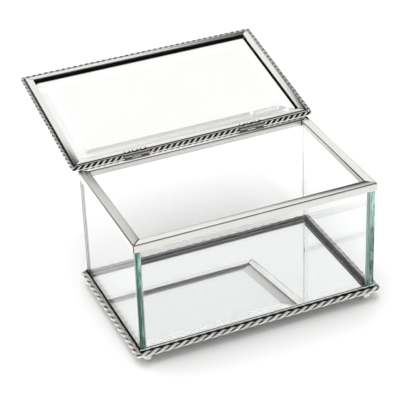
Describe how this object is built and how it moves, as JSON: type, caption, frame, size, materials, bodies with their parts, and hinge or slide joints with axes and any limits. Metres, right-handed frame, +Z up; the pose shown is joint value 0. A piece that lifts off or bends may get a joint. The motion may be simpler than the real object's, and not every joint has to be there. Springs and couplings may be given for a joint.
{
  "type": "glass casket box",
  "caption": "Clear glass keepsake box on a mirror floor with ball feet, twisted wire trim and a hinged bevelled glass lid that lies open behind it.",
  "frame": {"origin": "on the table, on the box's centre plane, in the middle of the whole length that the box and its open lid cover, which is just behind the hinge line", "axes": "+X to the right along the width, +Y from the front towards the hinges and the open lid, +Z up"},
  "size_m": [0.1602, 0.1906, 0.1004],
  "materials": {
    "wall_glass": "polished clear float glass with a green edge",
    "lid_glass": "polished bevelled clear glass",
    "mirror": "silvered plate glass",
    "channel": "bright folded metal, lightly brushed",
    "wire": "bright twisted wire",
    "feet": "bright plated balls",
    "hinge": "small plated hinge, darkened in the joints"
  },
  "bodies": {
    "box": {"front_glass": "wall_glass", "back_glass": "wall_glass", "left_glass": "wall_glass", "right_glass": "wall_glass", "mirror_plate": "mirror", "base_band_front": "channel", "base_band_right": "channel", "base_band_back": "channel", "base_band_left": "channel", "base_rope": "wire", "foot_front_left": "feet", "foot_front_right": "feet", "foot_back_left": "feet", "foot_back_right": "feet", "rim_front": "channel", "rim_right": "channel", "rim_back": "channel", "rim_left": "channel", "left_hinge_box_leaf": "hinge", "left_hinge_pin": "hinge", "right_hinge_box_leaf": "hinge", "right_hinge_pin": "hinge"},
    "lid": {"lid_glass": "lid_glass", "lid_frame_front": "channel", "lid_frame_right": "channel", "lid_frame_back": "channel", "lid_frame_left": "channel", "lid_rope": "wire", "lid_rope_back": "wire", "left_hinge_lid_leaf": "hinge", "right_hinge_lid_leaf": "hinge"}
  },
  "joints": [
    {"name": "lid_hinge", "type": "hinge", "parent": "box", "child": "lid", "pos_m": [0, -0.0003, 0.08235], "axis": [1, 0, 0], "range_deg": [0, 169.6]}
  ]
}
